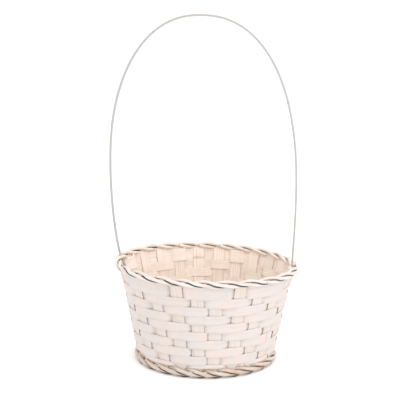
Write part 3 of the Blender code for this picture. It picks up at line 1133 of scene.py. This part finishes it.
@dataclass
class Hoop:
    """The hoop handle, one bent strip from the tip of one leg to the tip of the other.

    Attributes:
        spacing: Between two stations of its path.
        smoothing: Number of stations over which its line is smoothed.
        heart: Height of the point that its inner face looks at, about the middle of the arch.
    """

    bowl: Bowl
    sizes: HoopSizes
    spacing: float = 0.0011
    smoothing: int = 9
    heart: float = 0.19
    growth: Growth = Growth(knuckle=0.0002, spacing=0.23, tone=0.3, waves=12)
    profile: Profile = Profile(rounding=0.0007, crown=0.00012, face_points=5, corner_points=4)

    def half(self) -> Array:
        """Middle line of the right half, as rows of out and height.

        The leg lies on the stake's inner face. Above it the hoop widens by a power law to its
        shoulder, then closes along a quarter of a superellipse.

        Returns:
            Rows from the leg's tip to the top of the hoop.
        """
        bowl, sizes = self.bowl, self.sizes
        offset = bowl.splint_thickness / 2 + bowl.gap + sizes.thickness / 2 + sizes.crown
        bottom = bowl.row(sizes.tuck_row)[0] - sizes.tail
        heights = np.linspace(bottom, bowl.stake_top, 50)
        lean = np.arctan(bowl.slope(heights))
        leg = np.stack([bowl.radius(heights) - offset / np.cos(lean), heights], -1)
        shoulder = bowl.rim_z + sizes.shoulder
        widest = leg[-1, 0] + sizes.bulge
        share = np.linspace(0, 1, 60)[1:-1]
        out = widest - sizes.bulge * (1 - share) ** sizes.lower_power
        lower = np.stack([out, bowl.stake_top + share * (shoulder - bowl.stake_top)], -1)
        turn = np.linspace(0, math.pi / 2, 220)
        power = 2 / sizes.arch_power
        rise = sizes.top - sizes.thickness / 2 - shoulder
        out = widest * np.abs(np.cos(turn)) ** power
        arch = np.stack([out, shoulder + rise * np.abs(np.sin(turn)) ** power], -1)
        arch[-1, 0] = 0.0
        return np.concatenate([leg, lower, arch])

    def path(self) -> Path:
        """The whole hoop, leaning a little to -X above the stakes."""
        half = self.half()
        line = np.concatenate([half, (half[:-1] * (-1, 1))[::-1]])
        share = np.clip((line[:, 1] - self.bowl.stake_top) / self.sizes.lean_height, 0.0, 1.0)
        line[:, 0] -= self.sizes.lean * share**self.sizes.lean_power
        length = distances(line)
        at = np.linspace(0, length[-1], int(length[-1] / self.spacing))
        even = np.stack([np.interp(at, length, line[:, k]) for k in range(2)], -1)
        window = np.hanning(self.smoothing + 2)[1:-1]
        window /= window.sum()
        pad = self.smoothing // 2
        inner = np.stack([np.convolve(even[:, k], window, "valid") for k in range(2)], -1)
        even[pad:-pad] = inner
        share = at / at[-1]
        ends = smooth_step(0.0, 0.05, share) * smooth_step(0.0, 0.05, 1 - share)
        drift = Wobble(0.35 * MM, 3, Seed.HOOP_LINE).at(share) * ends
        centre = np.stack([even[:, 0], drift, even[:, 1]], -1)
        across = np.tile([0.0, 1.0, 0.0], (len(at), 1))
        facing = np.stack([even[:, 0], 0 * at, even[:, 1] - self.heart], -1)
        width = self.sizes.width * (1 + Wobble(0.05, 14, Seed.HOOP_WIDTH).at(share))
        thickness = self.sizes.thickness * (1 + Wobble(0.05, 18, Seed.HOOP_THICKNESS).at(share))
        return Path(self.bowl.settled(centre), across, facing, width, thickness)

    def bodies(self) -> list[tuple[Body, str]]:
        """The hoop, with the name of the CAD node that it stands for."""
        seeds = Seed.HOOP_JOINTS, Seed.HOOP_TONE
        body = self.growth.piece("bent_hoop", self.path(), self.profile, seeds)
        # A light weight of painted shade in the hoop's crevices.
        body.marks["shade_weight"] = np.full((1, 1), 0.2)
        return [(body, "hoop_handle")]


# ---- Where whitewash doesn't reach, and where shade is painted ----


@dataclass
class Crevices:
    """How closed in each point of the surface is.

    All surface is counted into small cubes and spread to their neighbours. A point's number is
    what stands a little way in front of it, so it is high where two pieces press together.

    Attributes:
        cell: Side of a cube.
        reach: How far in front of a point to look.
        extent: How far the counted space reaches, from the axis and up.
        margin: Empty cubes around it.
    """

    cell: float = 0.0008
    reach: float = 0.0011
    extent: float = 0.12
    margin: int = 6

    def mark(self, bodies: list[Body]) -> None:
        """Gives every body its marks crevice, and inner where it faces the bowl's axis.

        Args:
            bodies: All pieces of the basket.
        """
        points = np.concatenate([body.grid.reshape(-1, 3) for body in bodies])
        areas = np.concatenate([body.areas.reshape(-1) for body in bodies])
        low = points.min(0) - self.margin * self.cell
        low[2] = min(low[2], -self.margin * self.cell)
        shape = ((self.extent - low) / self.cell).astype(int) + self.margin
        index = ((points - low) / self.cell).astype(int)
        kept = (index < shape).all(1)
        flat = np.ravel_multi_index(tuple(index[kept].T), shape)
        count = np.bincount(flat, areas[kept] / self.cell**2, minlength=int(np.prod(shape)))
        filled = count.reshape(shape).astype(np.float32)
        for axis in range(3):
            ahead, behind = np.roll(filled, 1, axis), np.roll(filled, -1, axis)
            filled = (ahead + 2 * filled + behind) / 4
        for body in bodies:
            normals = body.normals
            near = body.grid + self.reach * normals
            cells = np.clip(((near - low) / self.cell).astype(int), 0, shape - 1)
            body.marks["crevice"] = filled[tuple(np.moveaxis(cells, -1, 0))]
            level = body.grid * (1, 1, 0)
            away = (normals * unit(level + (1e-9, 0, 0))).sum(-1)
            body.marks["inner"] = smooth_step(-0.2, 0.5, -away)


# ---- Finishes ----


class Value:
    """A shader socket that can be used in sums, so that maths reads as maths."""

    def __init__(self, nodes: "Nodes", socket: bpy.types.NodeSocket) -> None:
        """Wraps the socket of a node in the given tree."""
        self.nodes = nodes
        self.socket = socket

    def __add__(self, other: "Value | float") -> "Value":
        """Self plus other."""
        return self.nodes.maths("ADD", self, other)

    __radd__ = __add__

    def __mul__(self, other: "Value | float") -> "Value":
        """Self times other."""
        return self.nodes.maths("MULTIPLY", self, other)

    __rmul__ = __mul__

    def __sub__(self, other: "Value | float") -> "Value":
        """Self less other."""
        return self.nodes.maths("SUBTRACT", self, other)

    def __rsub__(self, other: "Value | float") -> "Value":
        """Other less self."""
        return self.nodes.maths("SUBTRACT", other, self)

    def clamped(self) -> "Value":
        """Self, held between 0 and 1."""
        return self.nodes.add("ShaderNodeClamp", {}, {"Value": self})

    def between(self, low: float, high: float) -> "Value":
        """0 below low, 1 above high, and smooth between."""
        inputs = {"Value": self, "From Min": low, "From Max": high}
        return self.nodes.add("ShaderNodeMapRange", {"interpolation_type": "SMOOTHSTEP"}, inputs)


class Nodes:
    """Builds one material's node tree."""

    def __init__(self, name: str) -> None:
        """Starts a material with its Principled shader."""
        self.material = bpy.data.materials.new(name)
        self.material.use_nodes = True
        self.tree = self.material.node_tree
        self.shader = self.tree.nodes["Principled BSDF"]

    def feed(self, socket: bpy.types.NodeSocket, value: Any) -> None:
        """Links a Value to a socket, or sets the socket's own number, colour or vector."""
        if isinstance(value, Value):
            self.tree.links.new(value.socket, socket)
        elif isinstance(value, tuple) and len(value) == 3 and socket.type == "RGBA":
            socket.default_value = (*value, 1.0)
        else:
            socket.default_value = value

    def add(self, kind: str, settings: dict, inputs: dict, output: int | str = 0) -> Value:
        """Makes any node.

        Args:
            kind: The node's type.
            settings: Its own settings, which are set first.
            inputs: The values or links of its sockets, by name or number.
            output: Which of its outputs is wanted.

        Returns:
            That output.
        """
        node = self.tree.nodes.new(kind)
        for name, value in settings.items():
            setattr(node, name, value)
        for key, value in inputs.items():
            self.feed(node.inputs[key], value)
        return Value(self, node.outputs[output])

    def maths(self, operation: str, first: Value | float, second: Value | float) -> Value:
        """One Math node."""
        return self.add("ShaderNodeMath", {"operation": operation}, {0: first, 1: second})

    def mark(self, name: str) -> Value:
        """A number that the mesh carries."""
        return self.add("ShaderNodeAttribute", {"attribute_name": name}, {}, "Fac")

    def mixed(self, first: Any, second: Any, factor: Value | float) -> Value:
        """First colour at 0, second at 1."""
        inputs = {0: factor, 6: first, 7: second}
        return self.add("ShaderNodeMix", {"data_type": "RGBA"}, inputs, 2)

    def grain(self, along: float, across: float, seed: float, detail: float = 2.0) -> Value:
        """Noise drawn out along a piece: that many features a metre along it and across it."""
        uv = self.add("ShaderNodeUVMap", {"uv_map": "grain"}, {})
        tone = self.mark("tone")
        parts = [self.add("ShaderNodeSeparateXYZ", {}, {0: uv}, k) for k in range(2)]
        place = {0: parts[0] * along, 1: parts[1] * across, 2: tone * 0.6 + seed}
        where = self.add("ShaderNodeCombineXYZ", {}, place)
        inputs = {"Vector": where, "Scale": 1.0, "Detail": detail, "Roughness": 0.55}
        return self.add("ShaderNodeTexNoise", {}, inputs)

    def blotches(self, scale: float, detail: float = 2.0) -> Value:
        """Noise in space, with that many features a metre."""
        where = self.add("ShaderNodeTexCoord", {}, {}, "Object")
        return self.add(
            "ShaderNodeTexNoise", {}, {"Vector": where, "Scale": scale, "Detail": detail}
        )

    def finish(self, **values: Any) -> bpy.types.Material:
        """Feeds the Principled shader, by its sockets' names with _ for each space."""
        for name, value in values.items():
            self.feed(self.shader.inputs[name.replace("_", " ")], value)
        return self.material


@dataclass(frozen=True)
class Whitewash:
    """Thin white paint, brushed over bamboo and worn.

    Attributes:
        name: The finish's name.
        paint: Colour where the paint is thick, on the outside: darker than the paint is, as
            painted shade against the strong light outside.
        brightened_inner_paint: Colour where it is thick, on the inside: warmer where the bamboo
            shows through, and brighter as painted light, for the less light inside the bowl.
        wood: The lighter of bare bamboo's two colours.
        fibre: The darker of them.
        dirt_and_shade: Colour of the painted shade, with some dirt, in the crevices and slits.
        cover: How much is painted, from 0 to 1, before wear.
        dirt_and_shade_from: Crevice number at which the painted shade and dirt start.
        dirt_and_shade_full: Crevice number at which they are full.
        dirt_and_shade_depth: How strong they are there.
        slit_depth: How strong the painted shade, with some dirt, is where canes press on one
            another, and the painted contact shadow where they touch the ground.
        blush: Warmer colour of some patches of the paint.
        blush_depth: How strong it is there.
        fine: Fibres a metre across the piece.
        streaks: Broader streaks a metre across it.
        streak_depth: How far the wood shows through in them.
        roughness: Where it is painted.
        coat: Weight of a thin varnish.
    """

    name: str
    paint: tuple[float, float, float]
    brightened_inner_paint: tuple[float, float, float]
    wood: tuple[float, float, float] = (0.62, 0.44, 0.28)
    fibre: tuple[float, float, float] = (0.36, 0.22, 0.12)
    dirt_and_shade: tuple[float, float, float] = (0.05, 0.035, 0.025)
    cover: float = 0.86
    dirt_and_shade_from: float = 0.8
    dirt_and_shade_full: float = 1.7
    dirt_and_shade_depth: float = 0.3
    slit_depth: float = 0.0
    blush: tuple[float, float, float] = (0.80, 0.64, 0.56)
    blush_depth: float = 0.3
    fine: float = 2600.0
    streaks: float = 420.0
    streak_depth: float = 0.16
    roughness: float = 0.55
    coat: float = 0.0

    def made(self) -> bpy.types.Material:
        """Builds the material: wood, then paint where it isn't worn, then painted shade and dirt
        in the crevices.

        Returns:
            The finished material.
        """
        nodes = Nodes(self.name)
        fine = nodes.grain(34.0, self.fine, 1.7, 3.0)
        broad = nodes.grain(14.0, self.streaks, 5.1)
        patches = nodes.blotches(70.0, 3.0)
        edge, inside, joint = nodes.mark("edge"), nodes.mark("inner"), nodes.mark("joint")
        crevice, tone = nodes.mark("crevice"), nodes.mark("tone")
        # closed masks the painted shade: crevices, weighted to the side away from the light.
        closed = crevice.between(self.dirt_and_shade_from, self.dirt_and_shade_full) * nodes.mark("shade_weight")
        # The paint is thin along some fibres, and worn at edges, joints and crevices, where the
        # wear follows the painted shade's weight.
        thin = (0.5 - fine) * 0.55 + (0.5 - broad) * 0.5 + (0.5 - patches) * 0.5
        bare = thin + edge * 0.1 + closed * 0.45 + joint * 0.25 + (tone - 0.5) * 0.12
        painted = (self.cover + 0.1 - bare).between(0.25, 0.95)
        wood = nodes.mixed(self.fibre, self.wood, (fine * 0.6 + broad * 0.6).between(0.35, 0.8))
        # One paint in two copies: the inside one brighter, as painted light, and warmer where the
        # bamboo shows.
        paint = nodes.mixed(self.paint, self.brightened_inner_paint, inside)
        # The paint itself is streaky, and warmer in patches.
        streak = (0.62 - broad).between(0.0, 0.4) * self.streak_depth
        shaded = nodes.mixed(paint, self.wood, streak)
        worn = (tone + patches - 0.8).between(0.0, 0.5) * self.blush_depth
        shaded = nodes.mixed(shaded, self.blush, worn)
        colour = nodes.mixed(wood, shaded, painted)
        # Painted shade, with some dirt, lies over both, most in crevices on the side away from the
        # light.
        depth = (closed * (patches * 0.7 + 0.65)).clamped() * self.dirt_and_shade_depth
        colour = nodes.mixed(colour, self.dirt_and_shade, depth)
        if self.slit_depth:
            # Painted shade, with some dirt, in the slits between canes, and a painted contact
            # shadow by the ground.
            slit = nodes.mark("slit") * (patches * 1.6 + 0.9)
            seam = nodes.mark("seam") * (1.1 - patches) * 0.6
            colour = nodes.mixed(colour, self.fibre, seam.clamped())
            colour = nodes.mixed(colour, self.dirt_and_shade, slit.clamped() * self.slit_depth)
        colour = nodes.mixed(colour, self.fibre, (joint * 0.25).clamped())
        # Fibres stand up a little, and so does the paint.
        height = fine * 0.5 + broad * 0.8 + painted * 0.35
        inputs = {"Strength": 0.35, "Distance": 0.00025, "Height": height}
        bump = nodes.add("ShaderNodeBump", {}, inputs)
        rough = self.roughness + (1 - painted) * 0.12 + (fine - 0.5) * 0.12
        return nodes.finish(
            Base_Color=colour, Roughness=rough, Normal=bump, Coat_Weight=self.coat
        )


# By the names that the frame gives its materials.
FINISHES = {
    "strip_splint": Whitewash(
        "whitewashed_stakes",
        paint=(0.70, 0.65, 0.615),
        brightened_inner_paint=(0.96, 0.845, 0.755),
        dirt_and_shade=(0.16, 0.085, 0.045),
        cover=0.84,
        dirt_and_shade_depth=0.95,
        streaks=900.0,
        streak_depth=0.34,
    ),
    "weaver_splint": Whitewash(
        "whitewashed_rows",
        paint=(0.68, 0.63, 0.615),
        brightened_inner_paint=(0.96, 0.845, 0.755),
        dirt_and_shade=(0.20, 0.12, 0.07),
        cover=0.92,
        dirt_and_shade_depth=0.8,
        streaks=620.0,
        streak_depth=0.28,
    ),
    "foot_rod": Whitewash(
        "rubbed_foot_cane",
        paint=(0.70, 0.62, 0.56),
        brightened_inner_paint=(0.78, 0.68, 0.58),
        cover=0.62,
        slit_depth=0.97,
        fine=1800.0,
    ),
    "rim_rod": Whitewash(
        "whitewashed_rim_cane",
        paint=(0.78, 0.725, 0.69),
        brightened_inner_paint=(0.88, 0.78, 0.70),
        slit_depth=0.97,
        fine=1800.0,
    ),
    # The hoop is whitewashed too; its mid grey paint is painted shade, for a thin strip seen
    # against the white background.
    "hoop_cane": Whitewash(
        "grey_shaded_hoop",
        paint=(0.46, 0.455, 0.45),
        brightened_inner_paint=(0.46, 0.455, 0.445),
        cover=0.98,
        blush_depth=0.0,
        roughness=0.42,
    ),
}


# ---- Studio ----


@dataclass
class Studio:
    """A white floor and background, a soft light from the right, and the camera.

    Attributes:
        distance: Camera to the bowl's axis, on the level.
        eye: Height of the camera.
        pitch: How far it looks down.
        yaw: How far its aim is turned off the axis.
        roll: How far it is tipped to one side.
        azimuth: How far to the right of the front it stands.
        drop: How far below the base the floor is, so that the two don't coincide.
        key_place: Where the light is.
        key_aim: Height on the axis that it looks at.
        key_size: Side of its square.
        key_watts: Its power.
        sky: Strength of the white surroundings.
    """

    distance: float = 0.8862
    eye: float = 0.2986
    pitch: float = 0.1505
    yaw: float = -0.0083
    roll: float = 0.0096
    azimuth: float = math.radians(7.5)
    sensor: float = 36.0
    lens: float = 79.04
    rings: tuple[float, ...] = (0.15, 0.4, 1.0, 2.2, 5.0)
    drop: float = 0.0002
    key_place: tuple[float, float, float] = (0.8, -0.85, 1.2)
    key_aim: float = 0.06
    key_size: float = 0.9
    key_watts: float = 6.6
    sky: float = 1.08

    def camera(self) -> None:
        """Places the camera in front, a little to the right and above the rim."""
        data = bpy.data.cameras.new("camera")
        data.sensor_width = self.sensor
        data.lens = self.lens
        data.clip_start = 0.05
        data.clip_end = 30.0
        camera = bpy.data.objects.new("camera", data)
        bpy.context.collection.objects.link(camera)
        side = self.distance * math.sin(self.azimuth)
        front = -self.distance * math.cos(self.azimuth)
        turn = Matrix.Rotation(self.azimuth - self.yaw, 4, "Z")
        tip = Matrix.Rotation(math.pi / 2 - self.pitch, 4, "X")
        place = Matrix.Translation(Vector((side, front, self.eye)))
        camera.matrix_world = place @ turn @ tip @ Matrix.Rotation(self.roll, 4, "Z")
        bpy.context.scene.camera = camera

    def floor(self) -> None:
        """A wide disc: radius times the cosine and sine of the angle, in rings."""
        rings = np.array(self.rings)
        angle = np.linspace(0, 2 * math.pi, 64, endpoint=False)
        grid = rings[:, None, None] * np.stack([np.cos(angle), np.sin(angle), 0 * angle], -1)
        points = np.concatenate([[[0.0, 0.0, 0.0]], grid.reshape(-1, 3)]) - self.drop * UP
        count = len(angle)
        k = np.arange(count)
        faces = np.stack([0 * k, 1 + k, 1 + (k + 1) % count], -1).tolist()
        for ring in range(len(rings) - 1):
            near, far = 1 + ring * count, 1 + (ring + 1) * count
            after = (k + 1) % count
            faces += np.stack([near + k, far + k, far + after, near + after], -1).tolist()
        mesh = bpy.data.meshes.new("floor")
        mesh.from_pydata(points.tolist(), [], faces)
        nodes = Nodes("floor_white")
        nodes.finish(
            Base_Color=(0.85, 0.85, 0.85),
            Roughness=0.9,
            Emission_Color=(1.0, 1.0, 1.0),
            Emission_Strength=0.25,
        )
        nodes.shader.inputs["Specular IOR Level"].default_value = 0.1
        mesh.materials.append(nodes.material)
        floor = bpy.data.objects.new("floor", mesh)
        bpy.context.collection.objects.link(floor)

    def light(self) -> None:
        """White surroundings, and a square soft light at the right and in front."""
        world = bpy.data.worlds.new("white_room")
        world.use_nodes = True
        background = world.node_tree.nodes["Background"]
        background.inputs["Color"].default_value = (1.0, 1.0, 1.0, 1.0)
        background.inputs["Strength"].default_value = self.sky
        bpy.context.scene.world = world
        data = bpy.data.lights.new("key_light", "AREA")
        data.size = self.key_size
        data.energy = self.key_watts
        lamp = bpy.data.objects.new("key_light", data)
        bpy.context.collection.objects.link(lamp)
        lamp.location = self.key_place
        aim = Vector((0.0, 0.0, self.key_aim)) - Vector(self.key_place)
        lamp.rotation_mode = "QUATERNION"
        lamp.rotation_quaternion = aim.to_track_quat("-Z", "Y")

    def build(self) -> None:
        """Everything that isn't the basket."""
        self.camera()
        self.floor()
        self.light()
        bpy.context.scene.view_settings.view_transform = "Standard"


# ---- The whole basket ----


def corners(box: tuple[Vector, Vector]) -> list[list[float]]:
    """A box's two corners as plain lists."""
    return [list(corner) for corner in box]


def main() -> None:
    """Builds the basket on its frame, piece by piece, then the studio."""
    logging.basicConfig(level=logging.INFO, format="%(message)s")
    bowl, hoop = Bowl(), HoopSizes()
    Studio().build()
    assemblies = [
        LongSplints(bowl),
        WovenRows(bowl, hoop),
        Rope(bowl, hoop, Place.FOOT),
        Rope(bowl, hoop, Place.RIM),
        Hoop(bowl, hoop),
    ]
    made = [pair for assembly in assemblies for pair in assembly.bodies()]
    Crevices().mark([body for body, _ in made])
    finishes = {slot: finish.made() for slot, finish in FINISHES.items()}
    slots = {row["node"]: row["material_slot"] for row in frame["record"]["subparts"]}
    for body, node in made:
        piece = as_object(body, finishes[slots[node]])
        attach(piece, "root")
        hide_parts(node)
        low, high = (np.array(corner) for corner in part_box(node))
        points = body.grid.reshape(-1, 3)
        off = max(np.abs(points.min(0) - low).max(), np.abs(points.max(0) - high).max())
        LOG.info("%s: %d points, %.2f mm from its node's box", piece.name, len(points), off / MM)


if __name__ == "__main__":
    main()
